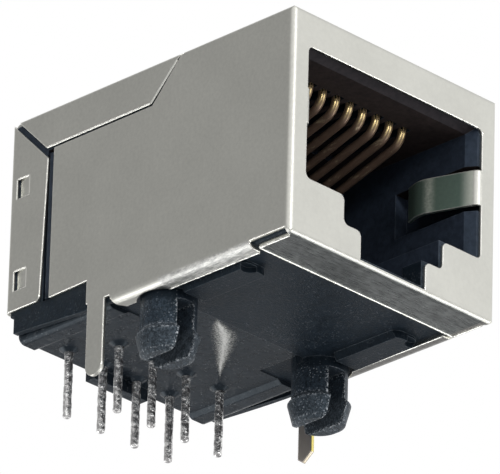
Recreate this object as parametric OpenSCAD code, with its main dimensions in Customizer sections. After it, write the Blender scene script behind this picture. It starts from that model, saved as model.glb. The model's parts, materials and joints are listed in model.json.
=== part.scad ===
// Shielded eight-contact modular jack for a printed circuit board, with its magnetics inside.
// X runs across the jack, Y from the plug face to the rear, Z up from the board.
// The origin is on the board's surface, midway between the two snap-in pegs.

/* [Shield] */
// Width across the two side panels
shield_w = 15.6; // [15:0.1:18.8]
// Depth from the plug face to the rear wall
shield_d = 21.4; // [20.5:0.1:26]
// Height from the bottom strip to the top
shield_h = 13.3; // [13:0.1:16]
// Thickness of the sheet
sheet_t = 0.2; // [0.15:0.01:0.3]
// Outside radius of the folds
bend_r = 0.35; // [0.31:0.01:0.5]
// Outside radius where the side panels turn in underneath
lip_r = 0.5; // [0.35:0.01:0.6]
// Depth of the strip folded under the front
strip_d = 2.6; // [1.5:0.1:3]
// Height of the side flaps folded down from the top
flap_h = 2.35; // [1.5:0.05:3]
// Width of the slit between a side flap and its panel
slit_w = 0.2; // [0.1:0.01:0.4]
// Width of the side flaps folded round from the rear wall
rear_flap_w = 2.95; // [2:0.05:3.1]
// Gap between a side panel and the rear flap
rear_gap = 0.45; // [0.35:0.05:0.8]
// Height of the shield's raised bottom edge at the rear
rear_lift = 1.9; // [1:0.1:2.5]

/* [Board tails] */
// Distance of the left tail behind the pegs
left_tail_setback = 3.45; // [3.2:0.05:4]
// Width of the left tail
left_tail_w = 1.25; // [0.8:0.05:1.5]
// Distance of the right tail behind the pegs
right_tail_setback = 2.9; // [2.8:0.05:4]
// Width of the right tail
right_tail_w = 1.0; // [0.8:0.05:1.2]
// Reach of the tails below the board's surface
tail_reach = 3.6; // [3:0.05:4.5]

/* [Plug opening] */
// Width of the opening in the shield
mouth_w = 13.3; // [12.6:0.1:14]
// Height of the opening's top above the shield's underside
mouth_top = 11.2; // [10.8:0.1:12]
// Height of the floor of the plug cavity
floor_z = 3.5; // [3.2:0.1:4]
// Width of the plug cavity
cavity_w = 12.3; // [11.9:0.1:12.6]
// Depth of the plug cavity behind the plug face
cavity_d = 13.2; // [12:0.1:14]
// Width of the upper step of the latch notch
latch_w = 7.5; // [7:0.1:8.5]
// Width of the lower step of the latch notch
latch_neck_w = 4.9; // [4:0.1:6]
// Height of the ledge between the two steps
latch_ledge_z = 1.85; // [1.6:0.05:2.2]

/* [Spring fingers] */
// Height of a finger's lower edge
finger_z = 6.7; // [6:0.1:7]
// Width of a finger
finger_w = 2.05; // [1.5:0.05:2.4]
// Length of a finger from its fold to its crest
finger_len = 3.3; // [2.5:0.1:4]

/* [Contacts] */
// Diameter of the contact wire
contact_d = 0.46; // [0.4:0.01:0.5]
// Spacing of the contacts
contact_pitch = 1.016; // [0.9:0.001:1.22]
// Radius at which a wire turns back at the front
hairpin_r = 1.0; // [0.8:0.05:1.1]
// Slope of a wire inside the cavity, in degrees
contact_slope = 17; // [12:1:20]

/* [Board pins] */
// Diameter of a pin
pin_d = 0.5; // [0.4:0.01:0.6]
// Spacing of the pins in one row, and of the two rows
pin_pitch = 2.54; // [2.5:0.01:2.6]
// Distance of the first row behind the pegs
row_setback = 6.35; // [6.2:0.05:6.6]
// Reach of the pins below the board's surface
pin_reach = 3.35; // [2.5:0.05:4]

/* [Snap-in pegs] */
// Distance of the pegs behind the plug face
peg_line = 10.9; // [10.6:0.05:11.2]
// Spacing of the two pegs
peg_spacing = 11.43; // [11:0.01:11.6]
// Diameter of a peg's shaft
peg_d = 3.05; // [2.8:0.05:3.2]
// Diameter over the barbs
barb_d = 3.45; // [3.2:0.05:3.6]
// Width of the slot that splits a peg
peg_slot = 1.1; // [0.8:0.05:1.15]
// Thickness of the board that the pegs clip through
board_t = 1.6; // [1.4:0.1:1.8]

/* [Moulding] */
// Height of the stand-offs under the shield
standoff = 0.25; // [0.1:0.05:0.4]
// Thickness of the housing's side walls at the rear
side_wall = 0.9; // [0.7:0.05:1.1]
// Height of the housing's wall above the contact tongue
roof_t = 0.5; // [0.35:0.05:0.6]
// Thickness of the contact tongue
tongue_t = 1.15; // [1:0.05:1.2]

/* [Magnetics] */
// Outside diameter of the transformer cores
core_d = 4.2; // [3.6:0.1:5]
// Outside diameter of the choke cores
choke_d = 3.4; // [3:0.1:3.8]
// Width of a transformer core
core_w = 1.9; // [1.5:0.1:2]
// Width of a choke core
choke_w = 1.5; // [1.2:0.1:1.6]
// Thickness of a layer of winding
winding_t = 0.15; // [0.1:0.01:0.2]
// Thickness of the circuit board
pcb_t = 0.6; // [0.4:0.1:1]

/* [Hidden] */
CONTACTS = [for (i = [1 : 8]) str("contact_", i)];
PINS = [for (i = [1 : 8]) str("pin_", i)];
RESISTORS = [for (i = [1 : 4]) str("termination_resistor_", i)];
$fn = 48;
far = 40;
cut = 0.05;

// Shield
inner_w = shield_w - 2 * sheet_t;
mitre_gap = 0.5;
mitre_inset = -0.07;
flap_lean = 0.3;
flap_corner_r = 0.3;
flap_start = 8.3;
flap_run = 2.35;
relief_w = 0.43;
lip_w = 0.9;
lip_start = strip_d + 0.35;
lip_end = peg_line + 1.94;
lip_slant = 0.47;
lip_relief = 0.25;
skirt_start = peg_line + left_tail_setback + left_tail_w / 2 + 0.12;
panel_end = shield_d - rear_flap_w - rear_gap;
lance_w = 0.95;
lance_h = 1.15;
lance_in = 0.15;
lance_rear = shield_d - 0.6;
lance_gap = 0.03;
lance_slot = 0.16;
lance_heights = [3.05, 8.55];

// Plug opening and housing
mouth_r = 0.35;
bevel_in = 0.35;
bevel_d = 0.6;
cavity_top = mouth_top - 0.2;
catch_d = 1.4;
latch_pocket_d = 8;
latch_floor = 0.65;
plastic_inset = 0.12;
back_wall = 0.8;
bay_y = cavity_d + back_wall;
bay_w = inner_w - 2 * side_wall;
bay_top = shield_h - sheet_t - roof_t;
bay_rear = shield_d - sheet_t;
step_z = 0.52;
base_z = 0.46;
rim_z = 0.25;
skirt_t = 0.33;
skirt_in = inner_w / 2 - skirt_t;
skirt_low = 0.27;
skirt_rise = 0.38;
base_top = 2.2;
flange_z = 1.3;
groove_w = 0.12;
tongue_w = 7 * contact_pitch + 1.7;
tongue_front = 4.3;
base_tongue_w = tongue_w - 0.4;
step_y = peg_line - 0.2;
slot_offset = -0.15;
rib_w = 0.24;
rib_setback = 0.14;
rib_depth = 0.4;
rib_proud = 0.1;

// Contacts and pins
wire_z = bay_top - tongue_t / 2;
hairpin_y = 4.0;
tail_rows = [bay_y + 1.9, bay_y + 3.17];
tail_bend_r = 0.5;
comb_d = 2.4;
row_y = [peg_line + row_setback, peg_line + row_setback + pin_pitch];
pin_top = base_top + 1.2;
root_reach = 0.1;
hump_h = 0.2;

// Magnetics
coil_gap = 0.1;
core_z = pin_top + coil_gap + core_d / 2 + 2 * winding_t;
pcb_z = core_z + core_d / 2 + 2 * winding_t + 3 * coil_gap;
core_x = 3.2;
core_bore = 1.8;
choke_bore = 1.5;
core_y = bay_rear - core_w / 2 - 1.2;
choke_y = bay_y + choke_w / 2 + 0.6;
turns = 14;
strand = 0.2;
resistor_x = [-5.2, -3.4, 3.4, 5.2];

function contact_x(i) = (i - 4.5) * contact_pitch;
function pin_x(i) = (i - 4.5) * pin_pitch / 2;
function tail_row(i) = tail_rows[i % 2];

// Points of the arc that rounds the corner b between a and c with radius r
function corner(a, b, c, r, n = 6) =
    r == 0 ? [b] :
    let (u = (a - b) / norm(a - b),
         v = (c - b) / norm(c - b),
         half = acos(u * v) / 2,
         centre = b + (u + v) / norm(u + v) * r / sin(half),
         p = b + u * r / tan(half) - centre,
         q = b + v * r / tan(half) - centre,
         start = atan2(p.y, p.x),
         turn = (atan2(q.y, q.x) - start + 540) % 360 - 180)
    [for (k = [0 : n]) centre + r * [cos(start + turn * k / n), sin(start + turn * k / n)]];

// An outline with each corner rounded by its own radius; each entry is [x, y, radius]
function rounded(outline) =
    let (n = len(outline), p = [for (e = outline) [e.x, e.y]])
    [for (k = [0 : n - 1]) each corner(p[(k + n - 1) % n], p[k], p[(k + 1) % n], outline[k].z)];

// A half outline for x > 0, joined to its mirror image
function mirrored(half_outline) =
    let (n = len(half_outline))
    concat(half_outline,
           [for (k = [n - 1 : -1 : 0]) [-half_outline[k].x, half_outline[k].y, half_outline[k].z]]);

// Puts a shape drawn from the plug face and the shield's underside into the board's frame
module on_board() {
    translate([0, -peg_line, standoff])
        children();
}

// Extrudes a front view (x, z) rearwards from depth y
module rearwards(y, depth) {
    translate([0, y + depth, 0])
        rotate([90, 0, 0])
            linear_extrude(depth)
                children();
}

// Extrudes a side view (y, z) across the jack, centred on x
module across(width) {
    rotate([90, 0, 90])
        linear_extrude(width, center = true)
            children();
}

// Repeats a shape on both sides of the jack
module both_sides() {
    children();
    mirror([1, 0, 0])
        children();
}

// A block from its two opposite corners
module block(low, high) {
    translate(low)
        cube(high - low);
}

module rounded_square(low, high, radii) {
    polygon(rounded([[low.x, low.y, radii[0]], [high.x, low.y, radii[0]],
                     [high.x, high.y, radii[1]], [low.x, high.y, radii[1]]]));
}

// The folded box, inset by g from its outer surface, with every fold rounded about the same axis
module folded_box(g) {
    r = bend_r - g;
    side = shield_w / 2 - g;
    intersection() {
        linear_extrude(shield_h)
            rounded_square([-side, g], [side, shield_d - g], [r, r]);
        rearwards(0, shield_d)
            rounded_square([-side, g], [side, shield_h - g], [lip_r - g, r]);
        across(shield_w)
            polygon(rounded([[g, g, r], [shield_d - g, g, 0],
                             [shield_d - g, shield_h - g, r], [g, shield_h - g, r]]));
    }
}

// Everything open in a side wall: slit, rear gap, mitre and the raised rear edge
module side_openings() {
    edge_z = shield_h - flap_h;
    mitre = shield_h - shield_d + mitre_inset;
    flap_y = edge_z - mitre - mitre_gap;
    flap_front = shield_d - rear_flap_w;
    across(far)
        polygon(rounded([[flap_start - slit_w * 0.7, shield_h + cut, 0],
                         [flap_start + flap_run - slit_w * 0.7, edge_z - slit_w, 0],
                         [panel_end, edge_z - slit_w, 0],
                         [panel_end, rear_lift - 0.08, 0],
                         [skirt_start, rear_lift, 0],
                         [skirt_start, -cut, 0],
                         [far, -cut, 0],
                         [far, rear_lift, 0],
                         [flap_front + flap_lean, rear_lift, flap_corner_r],
                         [flap_front, flap_front + mitre, 0],
                         [shield_d + 1, shield_d + 1 + mitre, 0],
                         [shield_d + 1, shield_d + 1 + mitre + mitre_gap, 0],
                         [flap_y, edge_z, 0],
                         [flap_start + flap_run, edge_z, 0],
                         [flap_start, shield_h + cut, 0]]));
}

// The stepped outline of the plug opening, as a front view
module mouth_outline(inset = 0, bottom = sheet_t + 0.03) {
    half = mouth_w / 2 - inset;
    wide = latch_w / 2 - inset;
    neck = latch_neck_w / 2 - inset;
    polygon(rounded(mirrored([[neck, bottom, 0],
                              [neck, latch_ledge_z + inset, mouth_r],
                              [wide, latch_ledge_z + inset, mouth_r],
                              [wide, floor_z + inset, mouth_r],
                              [half, floor_z + inset, mouth_r],
                              [half, mouth_top - inset, mouth_r]])));
}

// Under side of the sheet: all that is open between the front strip and the lips
module bottom_openings() {
    strip_x = shield_w / 2 - relief_w;
    lip_x = shield_w / 2 - lip_w;
    block([-lip_x, strip_d, -cut], [lip_x, far, sheet_t + cut]);
    both_sides() {
        translate([0, 0, -cut])
            linear_extrude(sheet_t + 0.2)
                polygon([[strip_x, bend_r], [far, bend_r], [far, lip_start - lip_relief],
                         [lip_x - cut, lip_start], [lip_x - cut, strip_d], [strip_x, strip_d]]);
        translate([0, 0, -cut])
            linear_extrude(lip_r + cut)
                polygon([[lip_x - cut, lip_end], [shield_w / 2, lip_end + lip_slant],
                         [far, lip_end + lip_slant], [far, far], [lip_x - cut, far]]);
        translate([peg_spacing / 2, peg_line, -cut])
            cylinder(d = peg_d + 0.4, h = 1);
    }
    block([-far, shield_d - rear_flap_w, -cut], [far, far, rear_lift]);
}

// A board tail: the panel runs on down to a tip, drawn by its corners [across, height, radius]
module tail(setback, w, tip) {
    front = peg_line + setback - w / 2;
    bottom = -standoff - tail_reach;
    corners = [for (e = tip) [front + e.x * w, bottom + e.y, e.z * w]];
    translate([shield_w / 2 - sheet_t, 0, 0])
        rotate([90, 0, 90])
            linear_extrude(sheet_t)
                polygon(rounded(concat([[front, 1, 0], [front + w, 1, 0]], corners)));
}

// A lanced tab, hinged at its front edge and pressed in at its rear edge
module lance(z) {
    outer = shield_w / 2;
    front = lance_rear - lance_w;
    translate([0, 0, z])
        linear_extrude(lance_h)
            polygon([[outer, front], [outer - lance_in, lance_rear - lance_slot],
                     [outer - lance_in - sheet_t, lance_rear - lance_slot], [outer - sheet_t, front]]);
}

// The spring finger's section, as a plan view: fold, straight leg, crest and turned-back end
function finger_line() =
    let (r = 0.33, lean = 19.6, x0 = mouth_w / 2 + 0.05,
         fold = [for (k = [0 : 6]) let (a = -90 - (90 - lean) * k / 6)
                     [x0, sheet_t / 2 + r] + r * [cos(a), sin(a)]],
         leg = fold[6] + finger_len * 0.8 * [-sin(lean), cos(lean)],
         crest_r = 1.6,
         c = leg + crest_r * [cos(lean), sin(lean)],
         crest = [for (k = [1 : 6]) let (a = 180 + lean - (lean + 20) * k / 6)
                      c + crest_r * [cos(a), sin(a)]])
    concat([[x0 + 0.3, sheet_t / 2]], fold, [leg], crest, [crest[5] + 0.5 * [sin(20), cos(20)]]);

// A strip of constant thickness t laid along a line
function ribbon(line, t) =
    let (n = len(line),
         side = [for (k = [0 : n - 1])
             let (d = line[min(k + 1, n - 1)] - line[max(k - 1, 0)])
             [-d.y, d.x] / norm(d) * t / 2])
    concat([for (k = [0 : n - 1]) line[k] + side[k]], [for (k = [n - 1 : -1 : 0]) line[k] - side[k]]);

module finger() {
    translate([0, 0, finger_z])
        linear_extrude(finger_w)
            polygon(ribbon(finger_line(), sheet_t));
}

module shield() {
    round_tip = [[1, 0, 0.49], [0, 0, 0.49]];
    bevel_tip = [[1, 0.25, 0], [0.65, 0, 0], [0, 0.5, 0]];
    color([0.72, 0.70, 0.66])
        on_board() {
            difference() {
                folded_box(0);
                folded_box(sheet_t);
                rearwards(-1, 1 + bend_r)
                    mouth_outline();
                both_sides()
                    intersection() {
                        side_openings();
                        block([shield_w / 2 - bend_r, -1, -1], [far, far, far]);
                    }
                bottom_openings();
                both_sides()
                    for (z = lance_heights)
                        block([shield_w / 2 - sheet_t - cut, lance_rear - lance_w, z - lance_gap],
                              [far, lance_rear, z + lance_h + lance_gap]);
            }
            both_sides() {
                finger();
                for (z = lance_heights)
                    lance(z);
            }
            tail(right_tail_setback, right_tail_w, bevel_tip);
            mirror([1, 0, 0])
                tail(left_tail_setback, left_tail_w, round_tip);
        }
}

// One split snap-in peg: a tapered root as far as the slot's end, the shaft that stands in the
// board's hole, and a barb under it
module peg() {
    root = 0.35;
    shaft = standoff + board_t;
    flare = 0.25;
    barb = 1.05;
    nose = 0.15;
    difference() {
        union() {
            translate([0, 0, -root])
                cylinder(d1 = peg_d, d2 = peg_d + 0.06, h = root + sheet_t + 0.3);
            translate([0, 0, -shaft])
                cylinder(d = peg_d, h = shaft - root);
            translate([0, 0, -shaft - flare])
                cylinder(d1 = barb_d, d2 = peg_d, h = flare);
            translate([0, 0, -shaft - flare - barb])
                cylinder(d1 = barb_d - 0.55, d2 = barb_d, h = barb);
            translate([0, 0, -shaft - flare - barb - nose])
                cylinder(d1 = barb_d - 1.05, d2 = barb_d - 0.55, h = nose);
        }
        block([slot_offset - peg_slot / 2, -far, -far], [slot_offset + peg_slot / 2, far, -root]);
    }
}

module housing() {
    color([0.16, 0.18, 0.21])
        on_board()
            difference() {
                union() {
                    difference() {
                        housing_body();
                        both_sides()
                            gap_recess();
                    }
                    both_sides() {
                        standoff_rail();
                        gap_rib();
                    }
                    for (s = [-1, 1])
                        translate([s * peg_spacing / 2, peg_line, 0])
                            peg();
                }
                base_seat();
                plug_cavity();
                latch_notch();
                contact_slots();
                both_sides()
                    finger_pocket();
                both_sides()
                    lance_pockets();
            }
}

// The moulding's outer form, hollowed at the rear for the coil bay
module housing_body() {
    difference() {
        folded_box(sheet_t);
        block([-far, step_y, -cut], [far, lip_end + 0.2, step_z]);
        across(far)
            polygon([[lip_end, -cut], [lip_end, skirt_low], [bay_y + 0.9, skirt_low],
                     [bay_rear, skirt_low + skirt_rise], [far, skirt_low + skirt_rise], [far, -cut]]);
        block([-bay_w / 2, bay_y, -cut], [bay_w / 2, far, bay_top]);
        block([-skirt_in, bay_y, -cut], [skirt_in, far, flange_z]);
        block([-skirt_in, step_y, -cut], [skirt_in, bay_y + cut, step_z]);
        block([-tongue_w / 2, hairpin_y - hairpin_r - 0.5, bay_top - tongue_t],
              [tongue_w / 2, bay_y + cut, bay_top]);
        block([-far, bay_rear - 0.35, -cut], [far, far, rear_lift - 0.2]);
    }
}

// The seat for the pin base's tongue, under the floor of the plug cavity
module base_seat() {
    block([-base_tongue_w / 2, step_y + 0.05, -cut], [base_tongue_w / 2, bay_y + cut, base_top]);
}

// A low rail with sloping flanks that stands on the board, round and hollowed at its front end
module standoff_rail() {
    rail_w = 1.5;
    rail_start = 4.4;
    rail_end = step_y - 1.7;
    flank = 0.2;
    end_r = 0.6;
    hollow_r = 0.5;
    outer = shield_w / 2 - lip_w - 0.4;
    inner = outer - rail_w;
    difference() {
        intersection() {
            linear_extrude(1, center = true)
                polygon(rounded([[outer + flank, rail_start, end_r], [outer + flank, rail_end, 0],
                                 [inner - flank, rail_end, 0], [inner - flank, rail_start, end_r]]));
            rearwards(rail_start, rail_end - rail_start)
                polygon([[inner, -standoff], [outer, -standoff], [outer + flank, sheet_t + 0.1],
                         [inner - flank, sheet_t + 0.1]]);
        }
        translate([outer - rail_w * 0.2, rail_start, -standoff - cut])
            cylinder(r = hollow_r, h = standoff + 0.12);
    }
}

// The recess behind a side panel, in which the upright rib stands
module gap_recess() {
    x = inner_w / 2 - rib_depth;
    block([x, panel_end - cut, rear_lift - 0.05],
          [far, panel_end + rib_setback * 2 + rib_w + flap_lean / 2, shield_h - flap_h - 0.1]);
}

// The upright rib that shows in the gap behind a side panel
module gap_rib() {
    x = inner_w / 2 - rib_depth - cut;
    top = shield_h - flap_h - 0.1;
    translate([0, panel_end + rib_setback, 0])
        rearwards(0, rib_w)
            polygon([[x, rear_lift - 0.1], [inner_w / 2 + rib_proud, rear_lift],
                     [inner_w / 2 + rib_proud, top - 0.3], [x, top + cut]]);
}

// The space that the plug enters, with a bevelled mouth and a comb at the back
module plug_cavity() {
    front = sheet_t;
    half = cavity_w / 2;
    difference() {
        block([-half, front - cut, floor_z + plastic_inset], [half, cavity_d, cavity_top]);
        comb();
    }
    intersection() {
        linear_extrude(cavity_top + bevel_in)
            polygon([[-half - bevel_in - cut, front - cut], [half + bevel_in + cut, front - cut],
                     [half, front + bevel_d], [-half, front + bevel_d]]);
        across(far)
            polygon([[front - cut, floor_z + plastic_inset], [front + bevel_d, floor_z + plastic_inset],
                     [front + bevel_d, cavity_top], [front - cut, cavity_top + bevel_in + cut]]);
    }
}

// Ribs between the wires' free ends, with the bar that the ends rest on
module comb() {
    rib = contact_pitch - contact_d - 0.16;
    rib_low = free_end_z() - 0.9;
    for (i = [0 : 8])
        block([contact_x(i + 0.5) - rib / 2, cavity_d - comb_d, rib_low],
              [contact_x(i + 0.5) + rib / 2, cavity_d + cut, cavity_top + cut]);
    block([contact_x(0.5), cavity_d - comb_d, rib_low],
          [contact_x(8.5), cavity_d + cut, free_end_z() - contact_d / 2 - 0.06]);
}

function free_end_z() =
    let (turn = 180 - contact_slope,
         start = [hairpin_y - hairpin_r * sin(turn), wire_z - hairpin_r + hairpin_r * cos(turn)])
    start.y - (cavity_d - 0.6 - start.x) * tan(contact_slope);

// The latch notch: a narrow neck at the face, and a wide pocket behind it for the latch's shoulders
module latch_notch() {
    wide = latch_w / 2 - plastic_inset;
    neck = latch_neck_w / 2 - plastic_inset;
    top = floor_z + plastic_inset + cut;
    front = sheet_t - cut;
    block([-neck, front, latch_floor - 0.2], [neck, sheet_t + catch_d + cut, top]);
    block([-wide, front, latch_ledge_z + plastic_inset], [wide, sheet_t + catch_d + cut, top]);
    block([-wide, sheet_t + catch_d, latch_floor], [wide, sheet_t + catch_d + latch_pocket_d, top]);
}

// A slot in the ceiling over each contact, where the wire springs up as the plug goes in
module contact_slots() {
    slot_w = contact_d + 0.16;
    for (i = [1 : 8])
        block([contact_x(i) - slot_w / 2, hairpin_y - hairpin_r - 0.35, cavity_top - cut],
              [contact_x(i) + slot_w / 2, 8.5, bay_top - tongue_t + cut]);
}

// Room behind a spring finger, so that it can move out as the plug goes in
module finger_pocket() {
    clear = 0.3;
    block([cavity_w / 2 - cut, sheet_t - cut, finger_z - clear],
          [mouth_w / 2 + 0.4, finger_len + 2.6, finger_z + finger_w + clear]);
}

// Pockets whose rear walls the pressed-in lances lock against
module lance_pockets() {
    for (z = lance_heights)
        block([shield_w / 2 - lance_in - sheet_t, lance_rear - lance_w - 0.1, z],
              [far, lance_rear - lance_slot, z + lance_h]);
}

// One contact: tail down into the circuit board, run over the cavity, hairpin, sloping spring
module contact_wire(i) {
    turn = 180 - contact_slope;
    start_y = hairpin_y - hairpin_r * sin(turn);
    spring = (cavity_d - 0.6 - start_y) / cos(contact_slope);
    run = tail_row(i) - tail_bend_r - hairpin_y;
    drop = wire_z - tail_bend_r - pcb_z;
    translate([contact_x(i), 0, 0]) {
        translate([0, tail_row(i), pcb_z])
            cylinder(d = contact_d, h = drop);
        translate([0, tail_row(i) - tail_bend_r, wire_z - tail_bend_r])
            rotate([90, 0, 90])
                rotate_extrude(angle = 90)
                    translate([tail_bend_r, 0])
                        circle(d = contact_d);
        translate([0, hairpin_y, wire_z])
            rotate([-90, 0, 0])
                cylinder(d = contact_d, h = run);
        translate([0, hairpin_y, wire_z - hairpin_r]) {
            rotate([90, 0, 90])
                rotate_extrude(angle = turn, start = 90)
                    translate([hairpin_r, 0])
                        circle(d = contact_d);
            rotate([turn, 0, 0])
                translate([0, 0, hairpin_r])
                    rotate([90, 0, 0])
                        cylinder(d = contact_d, h = spring);
        }
    }
}

module contact(i) {
    color([0.85, 0.68, 0.30])
        on_board()
            contact_wire(i);
}

module contact_carrier() {
    body_w = tongue_w + 1.6;
    body_d = tail_rows[1] - bay_y + 1;
    body_z = pcb_z + pcb_t + 1.2;
    color([0.13, 0.14, 0.16])
        on_board()
            difference() {
                union() {
                    block([-tongue_w / 2, tongue_front, bay_top - tongue_t],
                          [tongue_w / 2, bay_y + cut, bay_top]);
                    block([-body_w / 2, bay_y, body_z], [body_w / 2, bay_y + body_d, bay_top]);
                }
                for (i = [1 : 8])
                    contact_wire(i);
            }
}

// The moulded base: a tongue under the cavity floor, a plate with a rounded rim along each side,
// a foot at the rear, and a collar of resin round each pin
module pin_base() {
    half = bay_w / 2;
    low_half = skirt_in - groove_w;
    rim_w = 1.2;
    rear = bay_rear - 0.3;
    foot = [-2.1, 1.9];
    foot_d = rear - row_y[1] - pin_d / 2 - 0.2;
    color([0.15, 0.16, 0.19])
        on_board()
            difference() {
                union() {
                    block([-base_tongue_w / 2, step_y + 0.05, base_z],
                          [base_tongue_w / 2, bay_y + 1, base_top]);
                    block([-half, bay_y, flange_z], [half, rear, base_top]);
                    rearwards(bay_y, rear - bay_y)
                        polygon(rounded(mirrored([[low_half - rim_w - 0.3, base_z, 0],
                                                  [low_half - rim_w, rim_z, 0.2],
                                                  [low_half, rim_z, 0.42],
                                                  [low_half, flange_z, 0]])));
                    rearwards(rear - foot_d, foot_d)
                        polygon([[foot[0], base_z + cut], [foot[0], -standoff], [foot[1], -standoff],
                                 [foot[1] + 0.75, base_z + cut]]);
                    for (i = [1 : 8])
                        translate([pin_x(i), row_y[i % 2], base_z - hump_h])
                            cylinder(d1 = pin_d + 0.1, d2 = pin_d + 0.6, h = hump_h);
                }
                for (i = [1 : 8])
                    pin_rod(i);
            }
}

// A pin: square where its magnet wire is wrapped, a slightly swollen root, the round free end
module pin_rod(i) {
    tip = 0.12;
    bottom = -standoff - pin_reach;
    root_top = base_z + 0.1;
    translate([pin_x(i), row_y[i % 2], 0]) {
        translate([-pin_d / 2, -pin_d / 2, root_top])
            cube([pin_d, pin_d, pin_top - root_top]);
        translate([0, 0, -root_reach])
            cylinder(d1 = pin_d, d2 = pin_d + 0.06, h = root_top + root_reach);
        translate([0, 0, bottom + tip])
            cylinder(d = pin_d, h = -root_reach - bottom - tip);
        translate([0, 0, bottom])
            cylinder(d1 = pin_d - 2 * tip, d2 = pin_d, h = tip);
    }
}

module pin(i) {
    color([0.76, 0.77, 0.78])
        on_board()
            pin_rod(i);
}

module circuit_board() {
    half = bay_w / 2;
    color([0.12, 0.35, 0.20])
        on_board()
            difference() {
                block([-half, bay_y + 0.2, pcb_z], [half, bay_rear - 0.4, pcb_z + pcb_t]);
                for (i = [1 : 8])
                    contact_wire(i);
            }
}

// A ferrite ring lying with its axis along Y at side s
module ring_place(s, y) {
    translate([s * core_x, y, core_z])
        rotate([90, 0, 0])
            children();
}

module core(d, bore, w) {
    difference() {
        cylinder(d = d, h = w, center = true);
        cylinder(d = bore, h = w + 1, center = true);
    }
}

// The layer of wire round a ring: a thin sleeve with raised turns
module winding(d, bore, w) {
    t = winding_t;
    difference() {
        union() {
            core(d + 2 * t, bore - 2 * t, w + 2 * t);
            for (k = [0 : turns - 1])
                rotate([0, 0, k * 360 / turns])
                    block([bore / 2 - 2 * t, -strand / 2, -w / 2 - 2 * t],
                          [d / 2 + 2 * t, strand / 2, w / 2 + 2 * t]);
        }
        core(d, bore, w);
    }
}

module coil_envelope(d, bore, w) {
    t = 2 * winding_t;
    reach = sqrt(pow(d / 2 + t, 2) + pow(strand / 2, 2));
    core(2 * reach, bore - 2 * t, w + 2 * t);
}

module transformer_core(s) {
    color([0.25, 0.25, 0.26])
        on_board()
            ring_place(s, core_y)
                core(core_d, core_bore, core_w);
}

module transformer_winding(s) {
    color([0.72, 0.38, 0.20])
        on_board()
            ring_place(s, core_y)
                winding(core_d, core_bore, core_w);
}

module choke_core(s) {
    color([0.25, 0.25, 0.26])
        on_board()
            ring_place(s, choke_y)
                core(choke_d, choke_bore, choke_w);
}

module choke_winding(s) {
    color([0.40, 0.55, 0.30])
        on_board()
            ring_place(s, choke_y)
                winding(choke_d, choke_bore, choke_w);
}

// A chip resistor beside the capacitor, two on each side
module termination_resistor(i) {
    size = [1.25, 2.0, 0.5];
    color([0.20, 0.20, 0.22])
        on_board()
            translate([resistor_x[i - 1], bay_rear - 1.9, pcb_z + pcb_t + size.z / 2])
                cube(size, center = true);
}

module isolation_capacitor() {
    size = [4.5, 2.0, 1.6];
    color([0.62, 0.50, 0.38])
        on_board()
            translate([0, bay_rear - 1.9, pcb_z + pcb_t + size.z / 2])
                cube(size, center = true);
}

module potting() {
    half = bay_w / 2;
    color([0.10, 0.10, 0.11])
        on_board()
            difference() {
                block([-half, bay_y, base_top], [half, bay_rear - 0.4, pcb_z]);
                for (i = [1 : 8])
                    pin_rod(i);
                for (s = [-1, 1]) {
                    ring_place(s, core_y)
                        coil_envelope(core_d, core_bore, core_w);
                    ring_place(s, choke_y)
                        coil_envelope(choke_d, choke_bore, choke_w);
                }
            }
}

shield();
housing();
contact_carrier();
for (i = [1 : 8])
    contact(i);
pin_base();
for (i = [1 : 8])
    pin(i);
circuit_board();
transformer_core(-1);  // transmit_core
transformer_winding(-1);  // transmit_winding
transformer_core(1);  // receive_core
transformer_winding(1);  // receive_winding
choke_core(-1);  // transmit_choke_core
choke_winding(-1);  // transmit_choke_winding
choke_core(1);  // receive_choke_core
choke_winding(1);  // receive_choke_winding
for (i = [1 : 4])
    termination_resistor(i);
isolation_capacitor();
potting();
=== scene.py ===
"""The looks of a shielded modular board jack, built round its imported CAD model.

Lengths are worked out in millimetres and brought to metres by MM. The jack stands on its board
plane at z = 0, its mouth faces -y, and its pins and tails point down.
"""

import json
import math

import bpy
import numpy as np
from mathutils import Matrix, Vector


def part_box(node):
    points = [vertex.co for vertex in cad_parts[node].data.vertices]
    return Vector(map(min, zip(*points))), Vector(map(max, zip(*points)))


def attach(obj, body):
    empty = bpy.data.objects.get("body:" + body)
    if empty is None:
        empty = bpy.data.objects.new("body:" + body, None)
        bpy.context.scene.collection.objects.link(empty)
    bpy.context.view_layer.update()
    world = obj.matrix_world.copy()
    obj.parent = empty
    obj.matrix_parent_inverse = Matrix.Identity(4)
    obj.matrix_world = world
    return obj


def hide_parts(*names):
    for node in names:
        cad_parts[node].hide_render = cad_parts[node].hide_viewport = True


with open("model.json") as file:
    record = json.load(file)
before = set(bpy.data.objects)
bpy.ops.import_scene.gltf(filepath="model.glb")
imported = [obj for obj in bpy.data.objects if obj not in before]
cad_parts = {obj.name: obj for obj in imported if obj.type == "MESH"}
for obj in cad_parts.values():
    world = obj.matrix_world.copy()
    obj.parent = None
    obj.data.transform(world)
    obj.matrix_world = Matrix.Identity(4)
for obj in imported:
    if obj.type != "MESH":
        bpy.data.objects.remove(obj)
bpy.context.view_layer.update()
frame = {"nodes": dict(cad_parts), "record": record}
NODES = frame["nodes"]
MM = 0.001


def box_mm(node):
    """The lowest and highest corners of a CAD node, in millimetres."""
    low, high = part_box(node)
    return np.array(low) / MM, np.array(high) / MM


# Where finishes change, burrs run and light is painted, in millimetres.
# The sheet's left side, front and underside
SHEET_LEFT, SHEET_FRONT = (float(side) for side in box_mm("shield")[0][:2])
SHEET_UNDERSIDE = 0.25
# The strip under the mouth: its depth and half its width
STRIP_DEPTH, STRIP_HALF = 2.6, 7.32
# The lips' inner edge and rear end
LIP_EDGE, LIP_END = 6.9, -1.25
# The fold beside the left lip: its top, its right side and its rear end
FOLD_TOP, FOLD_RIGHT, FOLD_REAR = 0.62, -6.0, -1.2
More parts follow.
